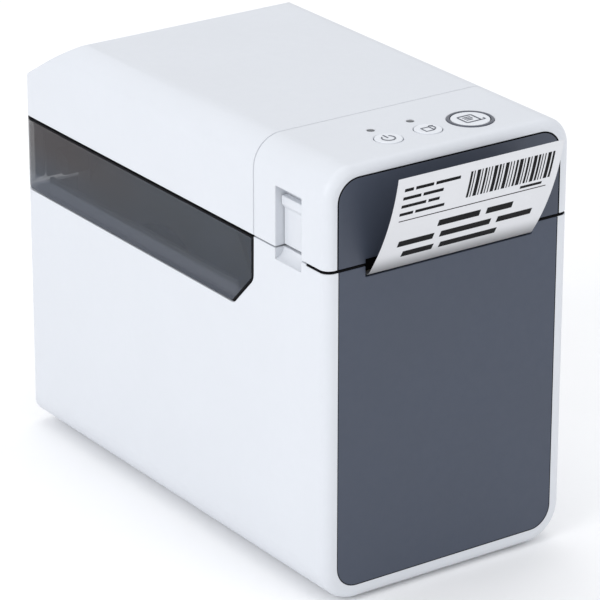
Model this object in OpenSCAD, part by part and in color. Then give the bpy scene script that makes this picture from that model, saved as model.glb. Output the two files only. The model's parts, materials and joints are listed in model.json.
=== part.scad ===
// Desktop direct-thermal label printer with a rear-hinged lid.
// Units are millimetres. The part rests on z = 0 with +Z up, its front faces -Y,
// and the origin is the middle of the whole footprint, label included.
// Depths (d) are counted back from the front face, heights (h) up from the underside.

/* [Housing] */
// Overall width of the housing
body_w = 112; // [112:1:118]
// Overall depth of the housing
body_d = 213; // [213:1:220]
// Height of the housing above its underside
body_h = 173.5; // [173:0.5:180]
// Wall thickness of the housing mouldings
wall = 2.8; // [2.4:0.1:2.8]
// Radius of the long lower edges
low_edge_r = 15; // [12:0.5:16]
// Radius of the long upper edges
high_edge_r = 12; // [10:0.5:13]
// Radius of the edges around the front face
front_edge_r = 4; // [3.5:0.5:5]
// Radius of the upright rear edges
rear_edge_r = 7; // [5:0.5:7]
// Length of the sloping rear facet, measured level
facet_run = 39.4; // [35:1:44]
// Height lost over the sloping rear facet
facet_drop = 23.4; // [18:1:28]
// Height of the rubber feet below the underside
foot_h = 1.2; // [0.8:0.1:3]

/* [Parting] */
// Height of the lid's lower edge at the front
split_h = 135.1; // [135:0.1:136]
// Open gap below the lid at the front
front_gap = 1.1; // [0.8:0.1:1.2]
// Open gap below the lid at the sides
side_gap = 0.5; // [0.4:0.1:0.7]
// Height of the lower edge of the side windows
window_h = 104.2; // [104:0.1:106]
// Depth of the front edge of the side windows
window_d = 46.7; // [46:0.1:48]

/* [Front panel] */
// Distance from the side of the housing to the grey panel
panel_inset = 5.6; // [5:0.1:7]
// Height of the lower edge of the grey panel
panel_low_h = 6.2; // [5:0.1:9]
// Distance from the housing top to the grey panel
panel_top_gap = 4.5; // [4:0.1:6]
// Corner radius of the grey panel
panel_r = 9; // [6:0.5:10]

/* [Labels] */
// Width of the labels and of their roll
label_w = 75; // [50:1:75]
// Outside radius of a full roll
roll_r = 63.5; // [40:0.5:63.5]
// Thickness of the label web
web_t = 0.25; // [0.2:0.05:0.3]
// How far the tip of the label stands in front of the housing
label_reach = 18.6; // [14:0.2:22]

/* [Controls] */
// Radius of the print button's cap
print_r = 7.5; // [6:0.1:7.5]
// Radius of the feed and power buttons' caps
small_r = 5.3; // [4:0.1:5.5]
// Radius of the lamp lenses
lamp_r = 1.5; // [1:0.1:1.8]

/* [Drive] */
// Radius of the platen's rubber
platen_r = 6.5; // [6:0.1:6.5]
// Module of the drive gears
gear_m = 1; // [1:0.1:1]

/* [Hidden] */
$fn = 96;
half_w = body_w / 2;
front_y = (label_reach - body_d) / 2;
facet_d = body_d - facet_run;
fit = 0.05;
gap = 0.3;

// hinge line of the lid
hinge_r = 8;
hinge_d = body_d - hinge_r;
hinge_h = window_h + hinge_r;
pin_r = 1.5;
lug_r = 4.5;
base_lug = [24, 32];
lid_lug = [32.4, 42];

// screws under the base, posts below the frame, studs under the control board
screw_x = [-38, 38];
screw_d = [12, body_d - 12];
post_x = [-36, 36];
post_d = [10, 38];
stud_x = [-30, 30];
stud_d = [9, 36];

// ledges behind the lower and upper edges of each window
rim_x = 51.6;

// slope at the lower front corner of each window
slant_top = [window_d + 0.2, 117.5];
slant_low = [window_d + 13.2, window_h];
slant_top_r = 5;
slant_low_r = 4;

// roll and drive lines
roll_d = 134.5;
roll_h = 80;
core_r = 15;
core_bore_r = 12.5;
platen_d = 14;
platen_h = 125;
shaft_r = 2.5;
platen_teeth = 20;
idler_teeth = 16;
pinion_teeth = 12;
train_angle = -75;
idler_gap = gear_m * (platen_teeth + idler_teeth) / 2;
pinion_gap = gear_m * (idler_teeth + pinion_teeth) / 2;
idler_d = platen_d + idler_gap * cos(train_angle);
idler_h = platen_h + idler_gap * sin(train_angle);
motor_d = idler_d + pinion_gap * cos(train_angle);
motor_h = idler_h + pinion_gap * sin(train_angle);
motor_r = 17.5;
press_angle = 20;
play = 0.3;
frame_x = 40.6;
frame_t = 1.5;
gear_x = 42.6;
gear_w = 3.2;

// slot
slot_half = label_w / 2 + 0.8;
slot_low_h = 129.7;
slot_high_h = 136.7;
web_h = platen_h + platen_r + gap;

// release levers, latch
recess_front = 15.7;
recess_back = 32.3;
recess_top = 159;
recess_depth = 3.85;
scoop_r = 4.6;
cheek_x = 49.2;
latch_d = 12;
latch_h = 151.5;
hook_x = 46.4;
hook_t = 2;

// controls
button_d = 17.3;
lamp_d = 28.4;
board_h = 164;
board_t = 1.6;
power_x = -16;
feed_x = 2;
print_x = 21.5;
ring_r = 9;

// media guides
guide_x = label_w / 2 + 0.7;
guide_t = 2.5;
guide_travel = 8;
slot_end = guide_x + guide_t + guide_travel + 0.5;
tray_h = 8.5;
tray_half = 50.6;
tray_top = 95.6;
rack_m = 1;
rack_teeth = 16;
rack_r = rack_m * rack_teeth / 2;
rack_low = 3.8;
rack_high = 7.4;
rack_step = 6.1;

white = [0.92, 0.92, 0.93];
slate = [0.29, 0.32, 0.36];
dark = [0.12, 0.12, 0.13];
steel = [0.72, 0.73, 0.75];

// ---- placing helpers -------------------------------------------------------

module side_extrude(x0, x1)
    translate([x0, front_y, foot_h]) rotate([90, 0, 90]) linear_extrude(x1 - x0) children();

module front_extrude(d0, d1)
    translate([0, front_y + d1, foot_h]) rotate([90, 0, 0]) linear_extrude(d1 - d0) children();

module plan_extrude(h0, h1)
    translate([0, front_y, foot_h + h0]) linear_extrude(h1 - h0) children();

module block(x0, x1, d0, d1, h0, h1)
    translate([x0, front_y + d0, foot_h + h0]) cube([x1 - x0, d1 - d0, h1 - h0]);

module x_rod(x0, x1, d, h, r)
    translate([x0, front_y + d, foot_h + h]) rotate([0, 90, 0]) cylinder(r = r, h = x1 - x0);

module z_rod(x, d, h0, h1, r)
    translate([x, front_y + d, foot_h + h0]) cylinder(r = r, h = h1 - h0);

module both_sides() {
    children();
    mirror([1, 0, 0]) children();
}

// ---- outline helpers -------------------------------------------------------

function unit(v) = v / norm(v);
function corner_span(a, p, b, r) = r / tan(acos(unit(a - p) * unit(b - p)) / 2);
function corner_centre(a, p, b, r) =
    p + unit(unit(a - p) + unit(b - p)) * r / sin(acos(unit(a - p) * unit(b - p)) / 2);

// convex outline with a true arc of its own radius at each corner
module filleted(pts, radii) {
    n = len(pts);
    cut = [for (i = [0:n - 1]) let (a = pts[(i + n - 1) % n], p = pts[i], b = pts[(i + 1) % n],
        t = corner_span(a, p, b, radii[i])) each radii[i] > 0
            ? [p + unit(a - p) * t, p + unit(b - p) * t] : [p]];
    polygon(cut);
    for (i = [0:n - 1]) if (radii[i] > 0)
        translate(corner_centre(pts[(i + n - 1) % n], pts[i], pts[(i + 1) % n], radii[i]))
            circle(r = radii[i]);
}

function box_points(x0, x1, y0, y1) = [[x0, y0], [x1, y0], [x1, y1], [x0, y1]];

// what the rounding of the front edge takes off where it turns a corner of radius r
module corner_waste(t, r)
    intersection() {
        rotate([-90, 0, 0]) rotate_extrude() difference() {
            translate([r - front_edge_r, t - 1]) square([front_edge_r + 1, front_edge_r + 1 - t]);
            translate([r - front_edge_r, front_edge_r]) circle(r = front_edge_r - t);
        }
        translate([0, t - 2, 0]) cube([r + 2, front_edge_r + 3, r + 2]);
    }

// the housing's outer form, shrunk inwards by t on every side
module body_form(t) {
    slope = facet_drop / facet_run;
    stretch = sqrt(1 + slope * slope);
    difference() {
        intersection() {
            front_extrude(t, body_d - t)
                filleted(box_points(t - half_w, half_w - t, t, body_h - t),
                    [low_edge_r - t, low_edge_r - t, high_edge_r - t, high_edge_r - t]);
            plan_extrude(t, body_h - t)
                filleted(box_points(t - half_w, half_w - t, t, body_d - t),
                    [front_edge_r - t, front_edge_r - t, rear_edge_r - t, rear_edge_r - t]);
            side_extrude(t - half_w, half_w - t)
                filleted([[t, t], [body_d - t, t],
                    [body_d - t, body_h - facet_drop + slope * t - stretch * t],
                    [facet_d - t * (stretch - 1) / slope, body_h - t], [t, body_h - t]],
                    [front_edge_r - t, rear_edge_r - t, 6 - t, 14 - t, front_edge_r - t]);
        }
        both_sides() translate([half_w - high_edge_r, front_y, foot_h + body_h - high_edge_r])
            corner_waste(t, high_edge_r);
        both_sides() translate([half_w - low_edge_r, front_y, foot_h + low_edge_r])
            mirror([0, 0, 1]) corner_waste(t, low_edge_r);
    }
}

// side outline of a window and of the space it fills, grown by g
module window_outline(g) filleted([[window_d - g, split_h + 5],
    [slant_top[0] - g, slant_top[1] - g / 2], [slant_low[0] - g / 2, window_h - g],
    [hinge_d + (g > 0 ? 20 : 0), window_h - g], [hinge_d + (g > 0 ? 20 : 0), split_h + 5]],
    [0, slant_top_r + g, slant_low_r + g, 0, 0]);

// side outline of everything that belongs to the lid
module lid_side() {
    polygon([[-5, split_h], [hinge_d, split_h], [hinge_d, hinge_h], [body_d + 5, hinge_h],
        [body_d + 5, body_h + 5], [-5, body_h + 5]]);
    window_outline(0);
    translate([hinge_d, hinge_h]) circle(r = hinge_r);
}

// side outline of everything that belongs to the base
module base_side() difference() {
    polygon([[-5, -5], [body_d + 5, -5], [body_d + 5, split_h - side_gap],
        [12.5, split_h - side_gap], [12.5, split_h - front_gap], [-5, split_h - front_gap]]);
    window_outline(side_gap);
}

// ---- gears -----------------------------------------------------------------

function roll_angle(rb, r) = sqrt(pow(r / rb, 2) - 1) * 180 / PI - acos(rb / r);
function half_tooth(m, z, r) = let (rp = m * z / 2, rb = rp * cos(press_angle))
    (PI * m / 2 - play) / (2 * rp) * 180 / PI + roll_angle(rb, rp) - roll_angle(rb, max(r, rb));
function gear_points(m, z) = let (rp = m * z / 2, rb = rp * cos(press_angle),
    root = rp - 1.15 * m, tip = rp + 0.85 * m, steps = 4)
    [for (k = [0:z - 1], s = [-1, 1], i = [0:steps + 1]) let (
        j = s < 0 ? i : steps + 1 - i,
        r = j == 0 ? root : max(rb, root + 0.1) + (tip - max(rb, root + 0.1)) * (j - 1) / steps,
        a = 360 * k / z + s * half_tooth(m, z, r)) [r * cos(a), r * sin(a)]];

// a spur gear across X, with a tooth pointing along the given angle in the side view
module x_gear(x0, width, d, h, m, z, tooth_angle, bore)
    difference() {
        side_extrude(x0, x0 + width)
            translate([d, h]) rotate(tooth_angle) polygon(gear_points(m, z));
        x_rod(x0 - 1, x0 + width + 1, d, h, bore);
    }

// ---- base ------------------------------------------------------------------

// recess that takes a release lever; the lid and the base share it
module lever_scoop()
    both_sides() front_extrude(recess_front, recess_back)
        translate([half_w - recess_depth + scoop_r, split_h - 0.2]) circle(r = scoop_r);

rear_ports = [[-30, 22, 10, 12], [-9, 22, 13, 12], [14, 22, 17, 14], [36, 22, 12, 12]];

module base_shell() color(white) {
    difference() {
        union() {
            difference() {
                intersection() {
                    body_form(0);
                    side_extrude(-half_w, half_w) base_side();
                }
                body_form(wall);
                front_extrude(-1, 1.9) lower_panel_outline(0.15);
                block(-slot_half, slot_half, -1, wall + 1, slot_low_h - 2, split_h);
                block(-40, 40, 10, body_d - 10, -1, 1.6);
                block(-36, 36, 14, body_d - 14, -1, wall + 1);
            }
            both_sides() block(cheek_x, half_w - 1, recess_front - 1.5, recess_back + 1.5,
                120, split_h - side_gap);
            both_sides() {
                block(rim_x, rim_x + 1.4, slant_low[0] + 2, body_d - 16, 94, window_h + 7.2);
                block(rim_x, half_w - wall + 0.2, slant_low[0] + 2, body_d - 16, 94,
                    window_h - side_gap - 1);
            }
            for (x = screw_x, d = screw_d) z_rod(x, d, 1.6, 9, 3);
            for (x = post_x, d = post_d) z_rod(x, d, 2, 72, 3);
            both_sides() {
                x_rod(base_lug[0], base_lug[1], hinge_d, hinge_h, lug_r);
                block(base_lug[0], base_lug[1], hinge_d - lug_r, hinge_d + lug_r, 96, hinge_h);
                block(base_lug[0], base_lug[1], hinge_d, body_d - 1, 96, window_h - side_gap);
            }
        }
        lever_scoop();
        x_rod(-33, 33, hinge_d, hinge_h, pin_r + 0.02);
        for (x = screw_x, d = screw_d) z_rod(x, d, 0, 7, 1.25);
        for (p = rear_ports)
            block(p[0] - p[2] / 2 - gap, p[0] + p[2] / 2 + gap, body_d - wall - 1, body_d + 1,
                p[1] - gap, p[1] + p[3] + gap);
        for (x = [-30:6:30]) block(x - 1, x + 1, body_d - wall - 1, body_d + 1, 50, 68);
    }
}

module lower_panel_outline(grow) {
    side = half_w - panel_inset + grow - 0.1;
    difference() {
        filleted(box_points(-side, side, panel_low_h - grow, split_h - front_gap),
            [panel_r, panel_r, 0, 0]);
        translate([grow - slot_half, slot_low_h + grow])
            square([2 * slot_half - 2 * grow, 10]);
    }
}

module front_panel_lower() color(slate) front_extrude(0, 1.8) lower_panel_outline(0);

module bottom_plate() color(white * 0.9) difference() {
    plan_extrude(0, 1.5) filleted(box_points(-39.7, 39.7, 10.3, body_d - 10.3), [3, 3, 3, 3]);
    for (x = screw_x, d = screw_d) z_rod(x, d, -1, 3, 1.6);
    for (x = [-20:5:20], d = [80, 125]) block(x - 1, x + 1, d, d + 25, -1, 3);
}

module rubber_feet() color(dark)
    for (x = [-31, 31], d = [24, body_d - 24]) z_rod(x, d, -foot_h, 0, 6);

module case_screws() color(steel)
    for (x = screw_x, d = screw_d) {
        z_rod(x, d, -0.2, 6.5, 1.2);
        z_rod(x, d, -0.6, 0, 1.9);
    }

module hinge_pin() color(steel) x_rod(-42, 42, hinge_d, hinge_h, pin_r);

module frame_outline()
    polygon([[5, 72], [42, 72], [42, 104], [48, 112], [48, 131], [5, 131]]);

module chassis_frame() color(steel) difference() {
    union() {
        both_sides() side_extrude(frame_x, frame_x + frame_t) frame_outline();
        block(-frame_x - 0.5, frame_x + 0.5, 5, 42, 72, 73.5);
        x_rod(frame_x + 0.5, gear_x + gear_w + 1, idler_d, idler_h, shaft_r);
    }
    x_rod(-50, 50, platen_d, platen_h, shaft_r + fit);
    x_rod(frame_x - 1, frame_x + 3, motor_d, motor_h, 6);
    for (x = post_x, d = post_d) z_rod(x, d, 70, 76, 1.5);
}

module stepper_motor() color(dark) difference() {
    union() {
        x_rod(frame_x - 20, frame_x - 0.02, motor_d, motor_h, motor_r);
        x_rod(frame_x - 1, frame_x + 1, motor_d, motor_h, 5);
    }
    x_rod(frame_x - 21, frame_x + 3, motor_d, motor_h, 1.25 + fit);
}

module motor_screws() color(steel) for (a = [0, 180])
    x_rod(frame_x + frame_t, frame_x + frame_t + 1.2, motor_d + 12 * cos(a),
        motor_h + 12 * sin(a), 2.2);

module platen_rubber() color(dark) difference() {
    x_rod(-38.5, 38.5, platen_d, platen_h, platen_r);
    x_rod(-40, 40, platen_d, platen_h, shaft_r + 0.01);
}

module platen_shaft() color(steel) x_rod(-48.2, 48.2, platen_d, platen_h, shaft_r);

module platen_gear() color(white * 0.95)
    x_gear(gear_x, gear_w, platen_d, platen_h, gear_m, platen_teeth, train_angle,
        shaft_r + 0.01);

module idler_gear() color(white * 0.85)
    x_gear(gear_x, gear_w, idler_d, idler_h, gear_m, idler_teeth,
        train_angle + 180 + 180 / idler_teeth, shaft_r + fit);

module motor_pinion() color([0.75, 0.62, 0.36]) {
    x_gear(gear_x, gear_w, motor_d, motor_h, gear_m, pinion_teeth, train_angle + 180, 1.25);
    x_rod(frame_x - 14, gear_x + gear_w, motor_d, motor_h, 1.25);
}

module tear_bar() color(steel) plan_extrude(slot_low_h - 1.2, slot_low_h)
    polygon(concat([[slot_half - 0.5, 7], [0.5 - slot_half, 7]],
        [for (i = [0:48]) [(0.5 - slot_half) + i * (2 * slot_half - 1) / 48,
            i % 2 == 0 ? 3.2 : 2.3]]));

module sensor_bar() color(dark) block(-frame_x + 0.02, frame_x - 0.02, 26, 33, 121, 124);

module label_sensor() color([0.1, 0.25, 0.16]) {
    block(-7, 7, 26.5, 32.5, 124, 127.5);
    z_rod(-3, 29.5, 127, 128.4, 1.2);
    z_rod(3, 29.5, 127, 128.4, 1.2);
}

module web_guide_rod() color(steel) x_rod(-frame_x + 0.02, frame_x - 0.02, 44, 126.5, 2);

module media_tray() color(white * 0.82) difference() {
    side_extrude(-tray_half, tray_half) difference() {
        filleted(box_points(47.5, body_d - 10, tray_h, tray_top), [12, 12, 0, 0]);
        filleted(box_points(49.5, body_d - 12, tray_h + 2, tray_top + 1), [10, 10, 0, 0]);
    }
    for (s = [-1, 1])
        translate([s < 0 ? -slot_end : guide_x - 2, 0, 0])
            block(0, slot_end - guide_x + 2, roll_d + s * 10.5 - 3, roll_d + s * 10.5 + 3,
                tray_h - 1, tray_h + 3);
}

// one guide at the +X side, its rack running below the tray towards the middle
module guide_right_form() {
    difference() {
        union() {
            side_extrude(guide_x, guide_x + guide_t) {
                translate([roll_d, roll_h]) circle(r = 27);
                filleted(box_points(roll_d - 20, roll_d + 20, tray_h + 2.3, roll_h),
                    [3, 3, 0, 0]);
            }
            x_rod(guide_x - 6.7, guide_x + 1, roll_d, roll_h, core_bore_r - fit);
        }
        x_rod(guide_x - 8, guide_x + 5, roll_d, roll_h, 8);
        side_extrude(guide_x - 1, guide_x + 5)
            filleted(box_points(roll_d - 10, roll_d + 10, 24, 44), [4, 4, 4, 4]);
    }
    block(guide_x, guide_x + guide_t, roll_d + 8.5, roll_d + 12.5, rack_step, tray_h + 4);
    block(guide_x - 3, guide_x + 2, roll_d + rack_r + 1.2, roll_d + rack_r + 4.2,
        rack_step, rack_high);
    translate([0, front_y + roll_d, foot_h + rack_low]) linear_extrude(rack_high - rack_low) {
        translate([-12, rack_r + 1.2]) square([guide_x + 11, 3]);
        for (i = [-4:4]) translate([(i + 0.5) * PI * rack_m, rack_r]) polygon([
            [-1.15, 1.4], [-0.62 - 0.36, 0.9], [-0.32, -0.8], [0.32, -0.8],
            [0.62 + 0.36, 0.9], [1.15, 1.4]]);
    }
}

module guide_right() color(white * 0.7) guide_right_form();

module guide_left() color(white * 0.7)
    translate([0, 2 * (front_y + roll_d), 0]) rotate([0, 0, 180]) guide_right_form();

module guide_pinion() color(white * 0.95)
    translate([0, front_y + roll_d, foot_h + rack_low]) difference() {
        linear_extrude(rack_high - rack_low) rotate(90) polygon(gear_points(rack_m, rack_teeth));
        translate([0, 0, -1]) cylinder(r = 2.5, h = 10);
    }

module roll_core() color([0.66, 0.52, 0.36]) difference() {
    x_rod(-label_w / 2, label_w / 2, roll_d, roll_h, core_r);
    x_rod(-label_w / 2 - 1, label_w / 2 + 1, roll_d, roll_h, core_bore_r);
}

module label_roll() color([0.95, 0.94, 0.9]) difference() {
    x_rod(-label_w / 2, label_w / 2, roll_d, roll_h, roll_r);
    x_rod(-label_w / 2 - 1, label_w / 2 + 1, roll_d, roll_h, core_r + 0.01);
}

// side path of the web: off the top of the roll, over the rod and platen, out and upwards
web_rod = [44, 129.2];
web_span = norm(web_rod - [roll_d, roll_h]);
web_leave = atan2(web_rod[1] - roll_h, web_rod[0] - roll_d) - acos((roll_r + gap) / web_span);
// the label bends up as it leaves the slot, then curls gently over the rest of its length
web_turn = 55;
web_turn_r = 2.4;
web_end = 79;
web_steps = 7;
web_foot_h = slot_low_h + 0.5;
web_curl_r = (body_h - 0.7 - web_foot_h - web_turn_r * (1 - cos(web_turn)))
    / (cos(web_turn) - cos(web_end));
web_foot_d = web_curl_r * (sin(web_end) - sin(web_turn)) + web_turn_r * sin(web_turn)
    - label_reach;
bend_centre = [web_foot_d, web_foot_h + web_turn_r];
curl_centre = bend_centre + (web_curl_r - web_turn_r) * [sin(web_turn), cos(web_turn)];
// the points before the bend
web_inside = [
    [roll_d + (roll_r + gap) * cos(web_leave), roll_h + (roll_r + gap) * sin(web_leave)],
    web_rod, [20, web_h + 0.2], [platen_d, web_h], [7, slot_low_h + 1]];
function arc_points(centre, r, from, to) = [for (i = [0:web_steps])
    let (a = from + (to - from) * i / web_steps) centre - r * [sin(a), cos(a)]];
function web_out(offset) = concat(
    arc_points(bend_centre, web_turn_r - offset, 0, web_turn - 3),
    arc_points(curl_centre, web_curl_r - offset, web_turn, web_end));
function reversed(v) = [for (i = [len(v) - 1:-1:0]) v[i]];

module label_web() color([0.97, 0.97, 0.95])
    side_extrude(-label_w / 2, label_w / 2)
        polygon(concat(web_inside, web_out(0), reversed(web_out(web_t)),
            reversed([for (p = web_inside) p + [0, web_t]])));

module main_board() color([0.08, 0.3, 0.18]) difference() {
    union() {
        block(-44, 44, body_d - 8.4, body_d - 6.8, 14, 94);
        block(-20, -6, body_d - 6.9, body_d - 5.2, 66, 80);
        block(8, 26, body_d - 6.9, body_d - 5.6, 62, 80);
        for (x = [-36, -30, 30, 36]) translate([x, front_y + body_d - 6.9, foot_h + 58])
            rotate([-90, 0, 0]) cylinder(r = 2.4, h = 3);
    }
    for (x = [-41, 41], h = [17, 91]) translate([x, front_y + body_d - 9, foot_h + h])
        rotate([-90, 0, 0]) cylinder(r = 1.6, h = 4);
}

module port_body(i) {
    p = rear_ports[i];
    block(p[0] - p[2] / 2, p[0] + p[2] / 2, body_d - 6.8, body_d - 0.6, p[1], p[1] + p[3]);
}

module port_hollow(i, rim, depth) {
    p = rear_ports[i];
    block(p[0] - p[2] / 2 + rim, p[0] + p[2] / 2 - rim, body_d - depth, body_d,
        p[1] + rim, p[1] + p[3] - rim);
}

module power_inlet() color(dark) {
    p = rear_ports[0];
    difference() {
        port_body(0);
        translate([p[0], front_y + body_d - 5.8, foot_h + p[1] + p[3] / 2])
            rotate([-90, 0, 0]) cylinder(r = 3.3, h = 7);
    }
    translate([p[0], front_y + body_d - 6.5, foot_h + p[1] + p[3] / 2])
        rotate([-90, 0, 0]) cylinder(r = 1, h = 5);
}

module usb_socket() color(steel) {
    difference() {
        port_body(1);
        port_hollow(1, 1.2, 6);
    }
    block(rear_ports[1][0] - 2.8, rear_ports[1][0] + 2.8, body_d - 6.5, body_d - 1.5, 26, 30);
}

module network_socket() color(steel) {
    difference() {
        port_body(2);
        port_hollow(2, 1.3, 6);
    }
    for (i = [0:7]) block(rear_ports[2][0] - 4.2 + i * 1.2, rear_ports[2][0] - 3.8 + i * 1.2,
        body_d - 6.5, body_d - 2, 33, 35);
}

module serial_socket() color(steel) {
    difference() {
        port_body(3);
        port_hollow(3, 1.2, 6);
    }
    block(rear_ports[3][0] - 3, rear_ports[3][0] + 3, body_d - 6.5, body_d - 2, 27, 29);
}

// ---- lid -------------------------------------------------------------------

seam_d = window_d - 0.4;

module lid_form(t) difference() {
    body_form(0);
    body_form(t);
}

module lid_cover() color(white) difference() {
    union() {
        intersection() {
            lid_form(wall);
            side_extrude(-half_w, half_w) lid_side();
            block(-half_w, half_w, seam_d + 0.3, body_d + 1, 100, body_h + 1);
        }
        both_sides() {
            x_rod(lid_lug[0], lid_lug[1], hinge_d, hinge_h, lug_r);
            block(lid_lug[0], lid_lug[1], hinge_d, body_d - 1, hinge_h - 4, hinge_h + 5);
        }
    }
    // the windows fill the side walls below this height
    both_sides() block(46.5, half_w + 1, 0, body_d + 1, 90, split_h);
    both_sides() block(base_lug[0] - 0.4, lid_lug[0], hinge_d - lug_r - 1, body_d + 1,
        90, hinge_h + 9);
    x_rod(-43, 43, hinge_d, hinge_h, pin_r + fit);
}

// light strips inside the lid that the upper edges of the windows are bonded to
module window_rails() color(white * 0.9) both_sides() {
    block(rim_x, half_w - 2.25, window_d + 1, body_d - 14, 131.6, split_h - 0.9);
    block(rim_x, half_w - wall, window_d + 1, body_d - 14, split_h - 0.9, split_h + 5);
}

module window_form() color([0.16, 0.15, 0.16, 0.8]) intersection() {
    difference() {
        body_form(0);
        body_form(2.2);
    }
    side_extrude(46.8, half_w) difference() {
        lid_side();
        translate([-10, split_h - 0.8]) square([body_d + 20, 60]);
        translate([-10, 90]) square([window_d + 10.2, 60]);
    }
}

module window_right() window_form();

module window_left() mirror([1, 0, 0]) window_form();

module upper_panel_outline(grow) {
    side = half_w - panel_inset + grow + 0.2;
    difference() {
        filleted(box_points(-side, side, split_h, body_h - panel_top_gap + grow),
            [0, 0, panel_r, panel_r]);
        translate([grow - slot_half, split_h - 5])
            square([2 * slot_half - 2 * grow, slot_high_h - split_h + 5 - grow]);
    }
}

module front_panel_upper() color(slate) front_extrude(0, 1.8) upper_panel_outline(0);

module head_cover() color(white) difference() {
    union() {
        intersection() {
            lid_form(wall);
            side_extrude(-half_w, half_w) lid_side();
            block(-half_w, half_w, -1, seam_d, 100, body_h + 1);
        }
        both_sides() block(cheek_x, half_w - 1, recess_front - 1.2, recess_back + 1.2,
            split_h, recess_top + 1.2);
    }
    front_extrude(-1, 1.9) upper_panel_outline(0.15);
    block(-slot_half - 0.2, slot_half + 0.2, -1, wall + 1, split_h - 1, slot_high_h);
    both_sides() {
        block(half_w - recess_depth - 1.75, half_w + 1, recess_front, recess_back,
            split_h - 1, recess_top);
        block(45, half_w, 25, 28.6, 142.2, 150.4);
    }
    z_rod(print_x, button_d, body_h - wall - 1, body_h + 1, print_r + 0.3);
    z_rod(print_x, button_d, body_h - 1.2, body_h + 1, ring_r + 0.05);
    for (x = [feed_x, power_x])
        z_rod(x, button_d, body_h - wall - 1, body_h + 1, small_r + 0.3);
    for (x = [feed_x, power_x]) z_rod(x, lamp_d, body_h - wall - 1, body_h + 1, lamp_r + 0.02);
}

module lid_frame() color(white * 0.6) difference() {
    union() {
        block(-47, 47, 4, 45, 156, 158);
        both_sides() block(43.6, 45.6, 4, 40, 141, 157);
        for (x = stud_x, d = stud_d) z_rod(x, d, 157, board_h, 2.5);
        for (x = [-30, 30]) z_rod(x, 26, 147, 157, 1.6);
    }
    x_rod(-50, 50, latch_d, latch_h, 2 + fit);
}

module print_head() color([0.86, 0.84, 0.78]) {
    block(-37.5, 37.5, 8.5, 22, web_h + web_t + gap + 0.3, 134.1);
    x_rod(-36, 36, platen_d, 133.05, 0.7);
}

module head_bracket() color([0.7, 0.71, 0.72]) {
    block(-39, 39, 6, 30, 134.1, 136.6);
    for (d = [6.5:4.4:29]) block(-38, 38, d, d + 1.2, 136.5, 144.5);
}

module head_springs() color(steel) for (x = [-30, 30], i = [0:5])
    translate([x, front_y + 26, foot_h + 145.4 + i * 1.9]) rotate_extrude()
        translate([2.6, 0]) circle(r = 0.45, $fn = 24);

module control_board() color([0.08, 0.3, 0.18]) difference() {
    block(-40, 40, 7, 40, board_h, board_h + board_t);
    for (x = stud_x, d = stud_d) z_rod(x, d, 163, 167, 1.3);
}

module tact_switches() color(dark) for (x = [print_x, feed_x, power_x]) {
    block(x - 2.5, x + 2.5, button_d - 2.5, button_d + 2.5, board_h + board_t, 166.6);
    z_rod(x, button_d, 166.5, 167, 1.2);
}

module lamp_lenses() color([0.2, 0.22, 0.24]) for (x = [feed_x, power_x])
    z_rod(x, lamp_d, 166.5, body_h + 0.1, lamp_r);

module button_ring() color(slate) difference() {
    z_rod(print_x, button_d, body_h - 1.1, body_h + 0.3, ring_r);
    z_rod(print_x, button_d, body_h - 2, body_h + 1, print_r + 0.3);
}

// a button cap with a skirt that keeps it captive under the cover
module cap(x, r) {
    z_rod(x, button_d, body_h - wall - 1.4, body_h + 0.3, r);
    z_rod(x, button_d, body_h - wall - 1.4, body_h - wall - 0.4, r + 0.8);
    z_rod(x, button_d, 168.2, body_h - wall - 1, 2);
}

module print_button() color(white) cap(print_x, print_r);

module feed_button() color(white) cap(feed_x, small_r);

module power_button() color(white) cap(power_x, small_r);

module latch_shaft() color(steel) {
    x_rod(-hook_x - 1, hook_x + 1, latch_d, latch_h, 2);
    both_sides() side_extrude(hook_x, hook_x + hook_t) {
        translate([latch_d, latch_h]) circle(r = 4);
        polygon([[latch_d - 3, latch_h - 3], [latch_d, latch_h + 3.5], [28.4, 150.4],
            [28.4, 146.9], [22.4, 146.3], [22.4, 119.5], [17.6, 119.5], [17.6, 122],
            [18.8, 123.4], [18.8, 137]]);
    }
}

module release_form() {
    block(half_w - recess_depth - 1.45, half_w - recess_depth, recess_front + gap,
        recess_back - gap, split_h + 0.5, 155);
    front_extrude(recess_front + gap, recess_back - gap)
        polygon([[half_w - recess_depth - 0.5, 150], [half_w - recess_depth, 150],
            [half_w - recess_depth + 1.3, 151.6], [half_w - recess_depth + 1.3, 155],
            [half_w - recess_depth - 0.5, 155]]);
    block(hook_x + 0.2, half_w - recess_depth - 1, 25.6, 28, 142.8, 145.7);
}

module release_right() color(white) release_form();

module release_left() color(white) mirror([1, 0, 0]) release_form();

base_shell();
front_panel_lower();
bottom_plate();
rubber_feet();
case_screws();
hinge_pin();
chassis_frame();
stepper_motor();
motor_screws();
platen_rubber();
platen_shaft();
platen_gear();
idler_gear();
motor_pinion();
tear_bar();
sensor_bar();
label_sensor();
web_guide_rod();
media_tray();
guide_left();
guide_right();
guide_pinion();
roll_core();
label_roll();
label_web();
main_board();
power_inlet();
usb_socket();
network_socket();
serial_socket();
lid_cover();
head_cover();
front_panel_upper();
window_left();
window_right();
window_rails();
lid_frame();
print_head();
head_bracket();
head_springs();
control_board();
tact_switches();
lamp_lenses();
button_ring();
print_button();
feed_button();
power_button();
latch_shaft();
release_left();
release_right();
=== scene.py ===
"""Desktop label printer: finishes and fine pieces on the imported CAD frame."""
import json
import math

import bmesh
import bpy
from mathutils import Matrix, Vector


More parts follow.
